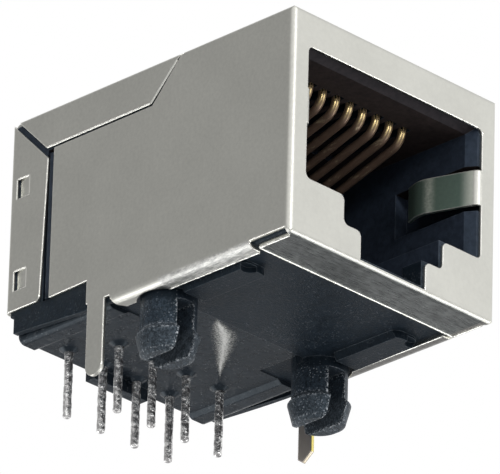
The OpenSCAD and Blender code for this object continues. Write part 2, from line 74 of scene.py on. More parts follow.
# The spring fingers: lower and upper edges, front and rear ends, and reach to either side
FINGER_FOOT, FINGER_HEAD, FINGER_FRONT, FINGER_REAR, FINGER_REACH = 6.6, 9.3, -10.6, -6.0, 7.2
# The tails hang below this height, and the right one lies beyond this distance to the right
TAIL_TOP, TAIL_LEFT = 0.15, 7.0
# The punched catches: their front cut, rear end, height, and the lower edge of each
CATCH_FRONT, CATCH_REAR, CATCH_HEIGHT = 8.93, 9.85, 1.15
CATCH_FEET = {"lower_catch_burr": 3.3, "upper_catch_burr": 8.8}
# The cut edge under the left top flap, from its front corner, as y and z
FLAP_CORNERS = ((-2.15, 13.13), (-0.27, 11.2), (7.7, 11.2))
# The pin base's front and underside, and the painted highlight along its front edge, from left to
# right
BASE_FRONT, BASE_UNDERSIDE = float(box_mm("pin_base")[0][1]), 0.71
BASE_HIGHLIGHT_LEFT, BASE_HIGHLIGHT_RIGHT = -1.75, 2.9
# The painted glare under the base, a white streak that stands in for a reflection: its start and
# direction, how far its middle strays aside, and its half width
GLARE_START, GLARE_ALONG = Vector((-2.05, 0.1, 0.0)), Vector((0.724, 0.689, 0.0))
GLARE_STRAY, GLARE_HALF = -0.34, 0.62
# The pegs start below this height and their barbs below this one, and the moulding counts as
# outside below one height and as inside above another
PEG_TOP, BARB_TOP, OUTSIDE_TOP, INSIDE_FLOOR = -0.12, -1.55, 1.8, 2.5
# The rearmost row of pins lies between these
REAR_ROW_FRONT, REAR_ROW_REAR = 7.6, 10.0
# The wires' two painted highlight lines, as ranges of the sideways part of the direction their skin
# faces
HIGHLIGHT_LINES = ((-0.86, -0.58), (-0.30, 0.02))


# ---------------------------------------------------------------- camera, light and stage

VIEW_AZIMUTH = math.radians(-44.66)
VIEW_ELEVATION = math.radians(-25.74)
VIEW_ROLL = math.radians(1.567)
VIEW_DISTANCE = 450 * MM
VIEW_AIM = Vector((-5.973, -6.204, 2.032)) * MM
VIEW_LENS = 617.8
SENSOR_WIDTH = 36
NEAREST, FARTHEST = 0.01, 20
FLOOR_Z = -0.32
FLOOR_HALF = 1.0

# Strength of the white surround, and its lobes: direction, the cosines between which a lobe fades
# in, and how much brighter or darker than the plain surround it is
SURROUND = 1.0
LOBES = [
    ((-0.63, 0.64, 0.43), 0.55, 0.97, -0.59),
    ((0.63, -0.64, 0.43), 0.60, 0.98, 0.04),
    ((0.0, 0.0, 1.0), 0.60, 0.95, -0.40),
]

# Small soft lamps: direction, distance, side and power
LAMPS = {
    "sill_lamp": ((0.63, -0.41, -0.62), 0.42, 0.18, 0.42),
    "lip_lamp": ((-0.16, 0.68, -0.70), 0.40, 0.32, 0.85),
    "mouth_lamp": ((-0.20, -0.92, 0.20), 0.60, 0.10, 1.10),
    "bend_lamp": ((-0.62, -0.72, 0.05), 0.60, 0.05, 0.10),
}


def view_axes():
    """Right, up and back of the camera: back points from the aim to the camera at the view's
    azimuth and elevation, and right and up are turned about it by the roll."""
    back = Vector((math.sin(VIEW_AZIMUTH) * math.cos(VIEW_ELEVATION),
                   -math.cos(VIEW_AZIMUTH) * math.cos(VIEW_ELEVATION),
                   math.sin(VIEW_ELEVATION)))
    level = Vector((0, 0, 1)).cross(back).normalized()
    upright = back.cross(level)
    right = level * math.cos(VIEW_ROLL) + upright * math.sin(VIEW_ROLL)
    return right, back.cross(right), back


def make_camera():
    right, up, back = view_axes()
    data = bpy.data.cameras.new("camera")
    data.lens = VIEW_LENS
    data.sensor_width = SENSOR_WIDTH
    data.clip_start, data.clip_end = NEAREST, FARTHEST
    camera = bpy.data.objects.new("camera", data)
    bpy.context.scene.collection.objects.link(camera)
    turn = Matrix((right, up, back)).transposed().to_4x4()
    camera.matrix_world = Matrix.Translation(VIEW_AIM + back * VIEW_DISTANCE) @ turn
    bpy.context.scene.camera = camera


def make_lamp(name, direction, distance, side, power):
    """A square soft lamp that looks at the jack from a direction."""
    data = bpy.data.lights.new(name, "AREA")
    data.size = side
    data.energy = power
    lamp = bpy.data.objects.new(name, data)
    bpy.context.scene.collection.objects.link(lamp)
    toward = Vector(direction).normalized()
    lamp.location = toward * distance
    lamp.rotation_mode = "QUATERNION"
    lamp.rotation_quaternion = toward.to_track_quat("Z", "Y")
    lamp.visible_camera = False


# ---------------------------------------------------------------- node trees

# A band with one side left out reaches this far, and fades over this much, in millimetres
FAR_BELOW, FAR_ABOVE, BAND_SOFT = -99.0, 99.0, 0.05
ORIGIN = (0.0, 0.0, 0.0)


class Nodes:
    """Short calls for building one node tree."""

    def __init__(self, tree):
        self.tree = tree

    def add(self, kind, inputs=None, **settings):
        node = self.tree.nodes.new(kind)
        for name, value in settings.items():
            setattr(node, name, value)
        for name, value in (inputs or {}).items():
            self.feed(node.inputs[name], value)
        return node

    def feed(self, socket, value):
        if isinstance(value, bpy.types.NodeSocket):
            self.tree.links.new(value, socket)
        else:
            socket.default_value = value

    def math(self, operation, a, b=0.0):
        return self.add("ShaderNodeMath", {0: a, 1: b}, operation=operation).outputs[0]

    def plus(self, a, b):
        return self.math("ADD", a, b)

    def minus(self, a, b):
        return self.math("SUBTRACT", a, b)

    def larger(self, a, b):
        return self.math("MAXIMUM", a, b)

    def times(self, *values):
        """The product of any number of values."""
        result = values[0]
        for value in values[1:]:
            result = self.math("MULTIPLY", result, value)
        return result

    def smooth(self, value, start, end, low=0.0, high=1.0):
        """A smooth step from low to high while value goes from start to end."""
        return self.add("ShaderNodeMapRange", {"Value": value, "From Min": start, "From Max": end,
                                               "To Min": low, "To Max": high},
                        interpolation_type="SMOOTHSTEP").outputs["Result"]

    def mix(self, factor, a, b):
        return self.add("ShaderNodeMix", {0: factor, 2: a, 3: b}, data_type="FLOAT").outputs[0]

    def colour(self, factor, a, b):
        """Colour a, turned into colour b as factor goes from 0 to 1."""
        a, b = [(*c, 1.0) if isinstance(c, tuple) else c for c in (a, b)]
        return self.add("ShaderNodeMix", {0: factor, 6: a, 7: b}, data_type="RGBA").outputs[2]

    def shade(self, colour, value):
        """A colour times a value that changes over the surface."""
        colour = (*colour, 1.0)[:4] if isinstance(colour, tuple) else colour
        grey = self.add("ShaderNodeCombineColor", {0: value, 1: value, 2: value}).outputs[0]
        return self.add("ShaderNodeMix", {0: 1.0, 6: colour, 7: grey}, data_type="RGBA",
                        blend_type="MULTIPLY").outputs[2]

    def vector(self, operation, a, b):
        node = self.add("ShaderNodeVectorMath", {0: a}, operation=operation)
        self.feed(node.inputs["Scale" if operation == "SCALE" else 1], b)
        return node.outputs["Value" if operation == "DOT_PRODUCT" else "Vector"]

    def split(self, vector):
        return self.add("ShaderNodeSeparateXYZ", {0: vector}).outputs

    def noise(self, place, scale, detail=3.0, roughness=0.55):
        return self.add("ShaderNodeTexNoise", {"Vector": place, "Scale": scale, "Detail": detail,
                                               "Roughness": roughness}).outputs["Fac"]

    def group(self, tree, **inputs):
        """Places a group and gives its outputs by name."""
        node = self.add("ShaderNodeGroup", node_tree=tree)
        for name, value in inputs.items():
            self.feed(node.inputs[name], value)
        return node.outputs

    def band(self, value, low=FAR_BELOW, high=FAR_ABOVE, soft=BAND_SOFT):
        """1 where value lies between low and high, fading out over soft on either side."""
        return self.group(BAND, Value=value, Low=low, High=high, Soft=soft)["Mask"]

    def bump(self, height, distance, normal):
        """The normal over a height that goes from 0 to 1 and stands for a distance."""
        return self.add("ShaderNodeBump", {"Strength": 1.0, "Distance": distance * MM,
                                           "Height": height, "Normal": normal}).outputs["Normal"]


def shader_group(name, inputs, outputs):
    """An empty node group. Inputs go by name with their first value, which is a number, or three
    for a vector. Outputs go by name, and Place and Normal are vectors."""
    tree = bpy.data.node_groups.new(name, "ShaderNodeTree")
    for label, value in inputs.items():
        kind = "NodeSocketVector" if isinstance(value, tuple) else "NodeSocketFloat"
        socket = tree.interface.new_socket(label, in_out="INPUT", socket_type=kind)
        socket.default_value = value
    for label in outputs:
        kind = "NodeSocketVector" if label in ("Place", "Normal") else "NodeSocketFloat"
        tree.interface.new_socket(label, in_out="OUTPUT", socket_type=kind)
    n = Nodes(tree)
    return n, n.add("NodeGroupInput").outputs, n.add("NodeGroupOutput").inputs


def make_bearings():
    """Where a point is and which way it faces, in millimetres of the jack's own frame."""
    n, _, out = shader_group(
        "bearings", {}, ("Place", "X", "Y", "Z", "Across", "Down", "Front", "Side"))
    place = n.vector("SCALE", n.add("ShaderNodeTexCoord").outputs["Object"], 1 / MM)
    facing = n.split(n.add("ShaderNodeNewGeometry").outputs["Normal"])
    where = n.split(place)
    n.feed(out["Place"], place)
    for i, axis in enumerate("XYZ"):
        n.feed(out[axis], where[i])
    n.feed(out["Across"], n.math("ABSOLUTE", where[0]))
    n.feed(out["Down"], n.smooth(facing[2], -0.6, -0.95))
    n.feed(out["Front"], n.smooth(facing[1], -0.5, -0.9))
    n.feed(out["Side"], n.smooth(n.math("ABSOLUTE", facing[0]), 0.5, 0.9))
    return n.tree


def make_band():
    """1 where a value lies between low and high, fading out over soft on either side."""
    n, given, out = shader_group(
        "band", {"Value": 0.0, "Low": FAR_BELOW, "High": FAR_ABOVE, "Soft": BAND_SOFT}, ("Mask",))
    value, low, high, soft = [given[name] for name in ("Value", "Low", "High", "Soft")]
    rise = n.smooth(value, n.minus(low, soft), n.plus(low, soft))
    fall = n.smooth(value, n.minus(high, soft), n.plus(high, soft), 1.0, 0.0)
    n.feed(out["Mask"], n.times(rise, fall))
    return n.tree


def make_rounded_edges():
    """A small radius on every edge, and a mask of those edges: the rounded normal is compared with
    the face's own."""
    n, given, out = shader_group("rounded_edges", {"Radius": 0.04}, ("Edge", "Normal"))
    radius = n.times(given["Radius"], MM)
    turned = n.add("ShaderNodeBevel", {"Radius": radius}, samples=6).outputs["Normal"]
    agree = n.vector("DOT_PRODUCT", turned, n.add("ShaderNodeNewGeometry").outputs["Normal"])
    n.feed(out["Edge"], n.smooth(agree, 0.995, 0.88))
    n.feed(out["Normal"], turned)
    return n.tree


def make_fine_mottle():
    """A factor close to 1 that wanders by spread, in blotches of a size."""
    n, given, out = shader_group(
        "fine_mottle", {"Place": ORIGIN, "Size": 0.2, "Spread": 0.1}, ("Shade", "Height"))
    noise = n.noise(given["Place"], n.math("DIVIDE", 1.0, given["Size"]), 4.0, 0.6)
    wander = n.times(n.minus(noise, 0.5), 4.0)
    n.feed(out["Shade"], n.plus(n.times(wander, given["Spread"]), 1.0))
    n.feed(out["Height"], noise)
    return n.tree


def make_brushed_grain():
    """Fine parallel lines: noise drawn out along the axis whose stretch is smallest."""
    n, given, out = shader_group(
        "brushed_grain", {"Place": ORIGIN, "Stretch": (1.0, 8.0, 8.0)}, ("Grain", "Scuffs"))
    drawn = n.vector("MULTIPLY", given["Place"], given["Stretch"])
    n.feed(out["Grain"], n.smooth(n.noise(drawn, 1.0, 6.0, 0.7), 0.3, 0.7))
    n.feed(out["Scuffs"], n.smooth(n.noise(drawn, 0.4, 5.0, 0.75), 0.56, 0.7))
    return n.tree


def make_specks():
    """Small round specks: in each cell of a lattice a dot of its own, kept where the cell's draw
    is under amount, and broken up by patches."""
    n, given, out = shader_group(
        "specks", {"Place": ORIGIN, "Size": 0.15, "Amount": 0.2}, ("Mask",))
    cells = n.add("ShaderNodeTexVoronoi", {"Vector": given["Place"],
                                           "Scale": n.math("DIVIDE", 1.0, given["Size"])})
    draw = n.split(cells.outputs["Color"])[0]
    dot = n.smooth(cells.outputs["Distance"], 0.42, 0.15)
    kept = n.smooth(n.minus(draw, given["Amount"]), 0.05, -0.05)
    patches = n.smooth(n.noise(given["Place"], 0.9, 2.0), 0.35, 0.65)
    n.feed(out["Mask"], n.times(dot, kept, patches))
    return n.tree


def make_scratches():
    """Thin wandering lines along the axis whose stretch is smallest: where a drawn-out noise
    crosses its middle value."""
    n, given, out = shader_group(
        "scratches", {"Place": ORIGIN, "Stretch": (0.3, 2.0, 2.0), "Width": 0.01}, ("Lines",))
    drawn = n.vector("MULTIPLY", given["Place"], given["Stretch"])
    level = n.math("ABSOLUTE", n.minus(n.noise(drawn, 1.0, 2.0), 0.5))
    line = n.smooth(level, given["Width"], 0.0)
    broken = n.smooth(n.noise(given["Place"], 0.8, 3.0), 0.45, 0.65)
    n.feed(out["Lines"], n.times(line, broken))
    return n.tree


BEARINGS = make_bearings()
BAND = make_band()
ROUNDED_EDGES = make_rounded_edges()
FINE_MOTTLE = make_fine_mottle()
BRUSHED_GRAIN = make_brushed_grain()
SPECKS = make_specks()
SCRATCHES = make_scratches()


def make_world():
    """A white surround. Each lobe makes it darker or brighter round one direction."""
    world = bpy.data.worlds.new("studio")
    bpy.context.scene.world = world
    world.use_nodes = True
    world.node_tree.nodes.clear()
    n = Nodes(world.node_tree)
    toward = n.add("ShaderNodeTexCoord").outputs["Generated"]
    level = SURROUND
    for direction, start, end, amount in LOBES:
        near = n.vector("DOT_PRODUCT", toward, tuple(Vector(direction).normalized()))
        level = n.plus(n.smooth(near, start, end, 0.0, amount), level)
    light = n.add("ShaderNodeBackground", {"Color": (1, 1, 1, 1), "Strength": level})
    n.feed(n.add("ShaderNodeOutputWorld").inputs["Surface"], light.outputs[0])


# ---------------------------------------------------------------- finishes

# Colours of the plated sheet and its burrs, as linear red, green and blue
# The second colour on the next line is bright from burnish and a painted edge highlight
NICKEL, BRIGHT_EDGE, BURR = (0.617, 0.615, 0.570), (0.96, 0.95, 0.89), (0.93, 0.925, 0.87)
STRIP_DARK, STRIP_PALE = (0.052, 0.061, 0.066), (0.335, 0.35, 0.345)
LIP_DARK, LIP_PALE = (0.40, 0.40, 0.39), (0.97, 0.97, 0.93)
# The second colour on the next line is the pale of the fingers' crests, worn and painted as a
# highlight, and of their front ends
FINGER_TARNISH, FINGER_PALE = (0.14, 0.205, 0.17), (0.66, 0.70, 0.62)
# The tail's tarnish on the next line is painted lighter against the shade on its inner face
TAIL_TARNISH_PAINTED_LIGHTER, BARE_BRASS = (0.66, 0.60, 0.55), (0.88, 0.76, 0.25)
# Colours of the black mouldings, and the tint of their gloss
# The second colour on this line and the first on the next are painted lighter, as painted light on
# the pegs and their barbs
MOULDING_BLACK, PEG_BLACK = (0.0085, 0.0135, 0.020), (0.020, 0.028, 0.038)
BARB_BLACK, CAVITY_BLUE = (0.036, 0.045, 0.055), (0.024, 0.032, 0.048)
CEILING_BROWN = (0.034, 0.024, 0.022)
# Painted highlights on the moulding's edges, inside the cavity and outside
CAVITY_EDGE_HIGHLIGHT, OUTER_EDGE_HIGHLIGHT = (0.075, 0.090, 0.110), (0.13, 0.15, 0.17)
OUTER_SCRATCH, PEG_DUST, GLASS_GLINT = (0.09, 0.10, 0.11), (0.30, 0.33, 0.37), (0.55, 0.58, 0.61)
# The second colour on the next line is a painted highlight on the pin base's rounded edges
BASE_BLACK, BASE_ROUNDED_EDGE_HIGHLIGHT = (0.014, 0.0195, 0.027), (0.05, 0.056, 0.063)
# The last colour on the next line is a painted highlight along the pin base's front edge
BASE_SCRATCH, BASE_DUST, BASE_FRONT_HIGHLIGHT = (0.10, 0.11, 0.115), (0.28, 0.30, 0.32), (0.50, 0.52, 0.52)
# White of the painted glare under the pin base, a painted reflection
GLARE_WHITE = (0.90, 0.90, 0.87)
MOULDING_TINT, BASE_TINT = (0.64, 0.84, 1.0, 1.0), (0.72, 0.88, 1.0, 1.0)
# Colours of the wires, the solder and the resin
# GOLD is the colour of the wires' painted highlight lines
WIRE_BROWN, GOLD, GOLD_SCUFF = (0.19, 0.125, 0.09), (0.98, 0.76, 0.36), (0.95, 0.80, 0.52)
# The dark on the next line is dull solder and a painted dark reflection; the last colour is a
# painted highlight
SOLDER, SOLDER_DULL_AND_PAINTED_DARK, SOLDER_HIGHLIGHT = (0.62, 0.61, 0.61), (0.03, 0.03, 0.034), (0.98, 0.98, 0.97)
RESIN_BLACK, RESIN_GREY, FLUX = (0.014, 0.0185, 0.025), (0.075, 0.083, 0.090), (0.55, 0.57, 0.57)
PAPER = (0.5, 0.5, 0.5)


def new_finish(name, metallic=0.0, **constants):
    """A material, its node calls, and its shader's sockets, which hold the constant values."""
    material = bpy.data.materials.new(name)
    material.use_nodes = True
    shader = material.node_tree.nodes["Principled BSDF"]
    shader.inputs["Metallic"].default_value = metallic
    for label, value in constants.items():
        shader.inputs[label.replace("_", " ")].default_value = value
    return material, Nodes(material.node_tree), shader.inputs


def make_floor_paper():
    """Pale matt paper with a faint tooth, seen only from above."""
    material, n, shader = new_finish("floor_paper", Roughness=0.9)
    place = n.add("ShaderNodeTexCoord").outputs["Object"]
    shade = n.group(FINE_MOTTLE, Place=place, Size=0.01, Spread=0.02)["Shade"]
    n.feed(shader["Base Color"], n.shade(PAPER, shade))
    paper = material.node_tree.nodes["Principled BSDF"].outputs[0]
    clear = n.add("ShaderNodeBsdfTransparent").outputs[0]
    facing = n.add("ShaderNodeMixShader")
    n.feed(facing.inputs[0], n.add("ShaderNodeNewGeometry").outputs["Backfacing"])
    n.feed(facing.inputs[1], paper)
    n.feed(facing.inputs[2], clear)
    n.feed(material.node_tree.nodes["Material Output"].inputs["Surface"], facing.outputs[0])
    return material


def make_plated_sheet():
    """Nickel-plated sheet. The strip under the mouth and the lips are brushed, cut edges are bright
    from burnish and a painted highlight, the tails and fingers have tarnished, the right tail is
    painted lighter, and the fingers' crests are pale from wear and a painted highlight."""
    material, n, shader = new_finish("plated_sheet", 1.0)
    b = n.group(BEARINGS)
    edges = n.group(ROUNDED_EDGES, Radius=0.12)
    mottle = n.group(FINE_MOTTLE, Place=b["Place"], Size=0.2, Spread=0.07)
    cloud = n.group(FINE_MOTTLE, Place=b["Place"], Size=4.0, Spread=0.05)
    cross_grain = n.group(BRUSHED_GRAIN, Place=b["Place"], Stretch=(1.3, 9.0, 3.0))
    long_grain = n.group(BRUSHED_GRAIN, Place=b["Place"], Stretch=(8.0, 1.6, 3.0))

    floor_level = n.band(b["Z"], low=-0.1, high=0.4)
    strip_rear = SHEET_FRONT + STRIP_DEPTH + 0.06
    strip = n.times(b["Down"], floor_level, n.band(b["Y"], high=strip_rear))
    lip = n.times(b["Down"], floor_level, n.band(b["Y"], low=strip_rear))
    right_tail = n.times(n.band(b["Z"], high=TAIL_TOP, soft=0.3), n.band(b["X"], low=TAIL_LEFT))
    finger = n.times(n.band(b["Across"], high=FINGER_REACH, soft=0.15),
                     n.band(b["Z"], low=FINGER_FOOT, high=FINGER_HEAD),
                     n.band(b["Y"], low=FINGER_FRONT, high=FINGER_REAR))

    fine = n.mix(n.mix(b["Side"], 0.6, 1.5), 1.0, mottle["Shade"])
    colour = n.shade(NICKEL, n.times(fine, cloud["Shade"]))
    blotch = n.group(FINE_MOTTLE, Place=b["Place"], Size=0.7, Spread=0.32)
    strip_colour = n.colour(n.times(n.plus(cross_grain["Grain"], cloud["Height"]), 0.5),
                            STRIP_DARK, STRIP_PALE)
    strip_colour = n.shade(strip_colour, blotch["Shade"])
    colour = n.colour(strip, colour, strip_colour)
    right_lip = n.times(lip, n.band(b["X"], low=0.0))
    colour = n.colour(right_lip, colour, strip_colour)
    left_fold = n.times(n.band(b["Z"], low=-0.1, high=FOLD_TOP, soft=0.08),
                        n.band(b["Y"], low=strip_rear + 0.3, high=FOLD_REAR),
                        n.band(b["X"], high=FOLD_RIGHT))
    colour = n.colour(left_fold, colour, n.colour(long_grain["Grain"], LIP_DARK, LIP_PALE))
    crest = n.band(b["Y"], low=SHEET_FRONT + 2.55, high=SHEET_FRONT + 2.95, soft=0.28)
    leg_end = n.smooth(b["Y"], SHEET_FRONT + 1.1, SHEET_FRONT + 0.3)
    # The crest is pale from wear and as a painted highlight; the legs' front ends are pale too
    crest_wear_and_highlight = n.times(crest, n.smooth(mottle["Height"], 0.25, 0.75, 0.4, 1.0), 0.85)
    finger_colour = n.colour(n.larger(crest_wear_and_highlight, leg_end), FINGER_TARNISH, FINGER_PALE)
    colour = n.colour(finger, colour, n.shade(finger_colour, fine))
    n.feed(shader["Metallic"], n.smooth(finger, 0.0, 1.0, 1.0, 0.6))
    # The right tail: tarnish painted lighter against its shade, faces that look forward bare brass
    colour = n.colour(right_tail, colour, n.colour(b["Front"], TAIL_TARNISH_PAINTED_LIGHTER, BARE_BRASS))
    catches = n.plus(*[n.band(b["Z"], low=foot, high=foot + CATCH_HEIGHT)
                       for foot in CATCH_FEET.values()])
    catch_line = n.times(b["Side"], catches,
                         n.band(b["Y"], low=CATCH_FRONT - 0.04, high=CATCH_FRONT + 0.04, soft=0.02))
    # Bright edges: burnished cut edges and the catches' front cut, and a painted highlight on every
    # sharp edge
    bright = n.times(n.larger(edges["Edge"], catch_line), n.minus(1.0, right_tail),
                     n.smooth(mottle["Height"], 0.3, 0.5, 0.7, 1.0))
    colour = n.colour(bright, colour, BRIGHT_EDGE)
    n.feed(shader["Base Color"], colour)

    roughness = n.plus(n.times(mottle["Height"], 0.10), 0.30)
    roughness = n.mix(strip, roughness, n.plus(n.times(cross_grain["Grain"], 0.12), 0.24))
    roughness = n.mix(left_fold, roughness, n.plus(n.times(long_grain["Grain"], 0.15), 0.40))
    n.feed(shader["Roughness"], n.mix(edges["Edge"], roughness, 0.22))
    height = n.mix(strip, n.mix(lip, mottle["Height"], long_grain["Grain"]), cross_grain["Grain"])
    height = n.times(height, n.mix(left_fold, 1.0, 4.0))
    n.feed(shader["Normal"], n.bump(height, 0.004, edges["Normal"]))
    return material


def make_black_moulding():
    """Black glass-filled plastic: fine painted glints on the pegs, edges a little paler as a
    painted highlight, and the ceiling over the contact wires brown."""
    material, n, shader = new_finish("black_moulding", Specular_IOR_Level=0.20,
                                     Specular_Tint=MOULDING_TINT)
    b = n.group(BEARINGS)
    edges = n.group(ROUNDED_EDGES, Radius=0.05)
    pegs = n.band(b["Z"], high=PEG_TOP, soft=0.08)
    mottle = n.group(FINE_MOTTLE, Place=b["Place"], Size=0.3, Spread=0.38)
    specks = n.group(SPECKS, Place=b["Place"], Size=0.11, Amount=n.mix(pegs, 0.26, 0.5))
    scratches = n.group(SCRATCHES, Place=b["Place"], Stretch=(1.4, 0.35, 1.4), Width=0.012)
    outside = n.band(b["Z"], high=OUTSIDE_TOP, soft=0.2)
    inside = n.band(b["Z"], low=INSIDE_FLOOR, soft=0.5)
    barbs = n.band(b["Z"], high=BARB_TOP, soft=0.25)
    ceiling = n.times(inside, b["Down"])

    # Painted light: the pegs, and more so their barbs, lighter than the rest of the moulding
    colour = n.colour(pegs, MOULDING_BLACK, PEG_BLACK)
    colour = n.colour(barbs, colour, BARB_BLACK)
    colour = n.colour(inside, colour, n.colour(ceiling, CAVITY_BLUE, CEILING_BROWN))
    colour = n.shade(colour, mottle["Shade"])
    # Painted highlight: edges paler, inside and outside
    painted_highlight = n.times(edges["Edge"], n.smooth(mottle["Height"], 0.35, 0.6, 0.3, 1.0))
    colour = n.colour(painted_highlight, colour, n.colour(outside, CAVITY_EDGE_HIGHLIGHT, OUTER_EDGE_HIGHLIGHT))
    colour = n.colour(n.times(scratches["Lines"], outside, 0.35), colour, OUTER_SCRATCH)
    grit = n.noise(b["Place"], 8.0, 3.0, 0.75)
    dust = n.times(specks["Mask"], outside, n.mix(pegs, 0.3, 0.9))
    colour = n.colour(dust, colour, PEG_DUST)
    colour = n.shade(colour, n.mix(pegs, 1.0, n.smooth(grit, 0.38, 0.62, 0.55, 1.6)))
    corners = n.group(ROUNDED_EDGES, Radius=0.28)["Edge"]
    glints = n.times(corners, pegs, n.smooth(grit, 0.53, 0.60))
    colour = n.colour(glints, colour, GLASS_GLINT)
    n.feed(shader["Base Color"], colour)
    roughness = n.plus(n.times(mottle["Height"], 0.3), 0.30)
    n.feed(shader["Roughness"], n.mix(ceiling, roughness, 0.75))
    height = n.mix(outside, mottle["Height"], n.times(grit, 2.5))
    n.feed(shader["Normal"], n.bump(height, 0.012, edges["Normal"]))
    return material


def make_glossy_moulding():
    """The pin base: smooth dark plastic with dust and light scratches, a painted glare, a white
    streak from its front edge towards the last pin, and painted highlights along its edges."""
    material, n, shader = new_finish("glossy_moulding", Specular_IOR_Level=0.25,
                                     Specular_Tint=BASE_TINT)
    b = n.group(BEARINGS)
    edges = n.group(ROUNDED_EDGES, Radius=0.06)
    mottle = n.group(FINE_MOTTLE, Place=b["Place"], Size=0.6, Spread=0.25)
    specks = n.group(SPECKS, Place=b["Place"], Size=0.13, Amount=0.22)
    scratches = n.group(SCRATCHES, Place=b["Place"], Stretch=(0.5, 0.9, 2.0), Width=0.012)

    # The painted glare runs along a line from its start. Its half width first grows and then tapers
    # away, and its core runs from 1.35 on its middle line to 0.35 at that half width
    aside = Vector((-GLARE_ALONG.y, GLARE_ALONG.x, 0.0))
    run, offset = [n.minus(n.vector("DOT_PRODUCT", b["Place"], tuple(way)), GLARE_START.dot(way))
                   for way in (GLARE_ALONG, aside)]
    middle = n.times(n.smooth(run, 0.0, 2.4), n.smooth(run, 7.5, 2.6), GLARE_STRAY)
    half = n.times(n.smooth(run, -0.6, 2.2), n.smooth(run, 8.0, 2.0, 0.12, 1.0), GLARE_HALF)
    share = n.math("DIVIDE", n.math("ABSOLUTE", n.minus(offset, middle)), n.larger(half, 0.02))
    core = n.times(n.minus(1.35, share), n.smooth(run, -0.6, 1.2), n.smooth(run, 8.6, 6.0))
    grains = n.noise(b["Place"], 11.0, 4.0, 0.8)
    # Painted glare: grainy white where the core is strong, on faces that look down, in place of a
    # reflection
    painted_glare = n.times(n.smooth(n.plus(grains, n.times(core, 0.30)), 0.58, 0.88),
                    n.smooth(core, 0.02, 0.25), b["Down"])
    # A painted highlight: a pale grainy line along the pin base's front edge
    front_highlight = n.times(n.band(b["Y"], high=BASE_FRONT + 0.08, soft=0.03),
                         n.band(b["X"], low=BASE_HIGHLIGHT_LEFT - 0.15, high=BASE_HIGHLIGHT_RIGHT + 0.2,
                                soft=0.4),
                         n.smooth(grains, 0.3, 0.5))

    colour = n.shade(BASE_BLACK, mottle["Shade"])
    # Painted highlight: the base's rounded edges paler
    painted_highlight = n.times(edges["Edge"], n.smooth(mottle["Height"], 0.35, 0.6, 0.3, 1.0))
    colour = n.colour(painted_highlight, colour, BASE_ROUNDED_EDGE_HIGHLIGHT)
    colour = n.colour(n.times(scratches["Lines"], 0.5), colour, BASE_SCRATCH)
    colour = n.colour(n.times(specks["Mask"], 0.5), colour, BASE_DUST)
    colour = n.colour(front_highlight, colour, BASE_FRONT_HIGHLIGHT)
    # The white of the painted glare
    colour = n.colour(painted_glare, colour, GLARE_WHITE)
    n.feed(shader["Base Color"], colour)
    n.feed(shader["Roughness"], n.mix(painted_glare, n.plus(n.times(mottle["Height"], 0.35), 0.12), 0.5))
    grit = n.times(n.noise(b["Place"], 9.0, 2.0, 0.6), painted_glare, 2.0)
    height = n.plus(grit, n.times(mottle["Height"], 0.25))
    n.feed(shader["Normal"], n.bump(height, 0.08, edges["Normal"]))
    return material


def make_gold_wire():
    """Gold over nickel, brown, and gold only in two painted highlight lines round the bends near
    the
    mouth: the lines follow which way the wire's skin is turned."""
    material, n, shader = new_finish("gold_wire", 1.0)
    (_, wire_front, _), (_, _, wire_top) = [corner.tolist() for corner in box_mm("contact_1")]
    b = n.group(BEARINGS)
    drawn = n.group(BRUSHED_GRAIN, Place=b["Place"], Stretch=(9.0, 1.5, 6.0))
    wear = n.group(FINE_MOTTLE, Place=b["Place"], Size=0.5, Spread=0.12)
    bend = n.times(n.smooth(b["Z"], wire_top - 2.2, wire_top - 1.5),
                   n.smooth(b["Y"], wire_front + 2.4, wire_front + 1.2))
    turned = n.split(n.add("ShaderNodeNewGeometry").outputs["Normal"])[0]
    # Painted highlights: two bands of the sideways facing, standing in for the wires' double
    # highlight
    painted_highlight = n.plus(*[n.band(turned, low=low, high=high, soft=0.10) for low, high in HIGHLIGHT_LINES])
    bend = n.times(bend, n.mix(painted_highlight, 0.12, 1.0))
    colour = n.colour(bend, WIRE_BROWN, GOLD)
    n.feed(shader["Metallic"], n.smooth(bend, 0.0, 1.0, 0.5, 1.0))
    colour = n.shade(colour, wear["Shade"])
    colour = n.colour(n.times(drawn["Scuffs"], 0.35), colour, GOLD_SCUFF)
    n.feed(shader["Base Color"], colour)
    n.feed(shader["Roughness"], n.plus(n.times(drawn["Grain"], 0.08), n.mix(bend, 0.30, 0.13)))
    edges = n.group(ROUNDED_EDGES, Radius=0.03)
    n.feed(shader["Normal"], n.bump(drawn["Grain"], 0.002, edges["Normal"]))
    return material


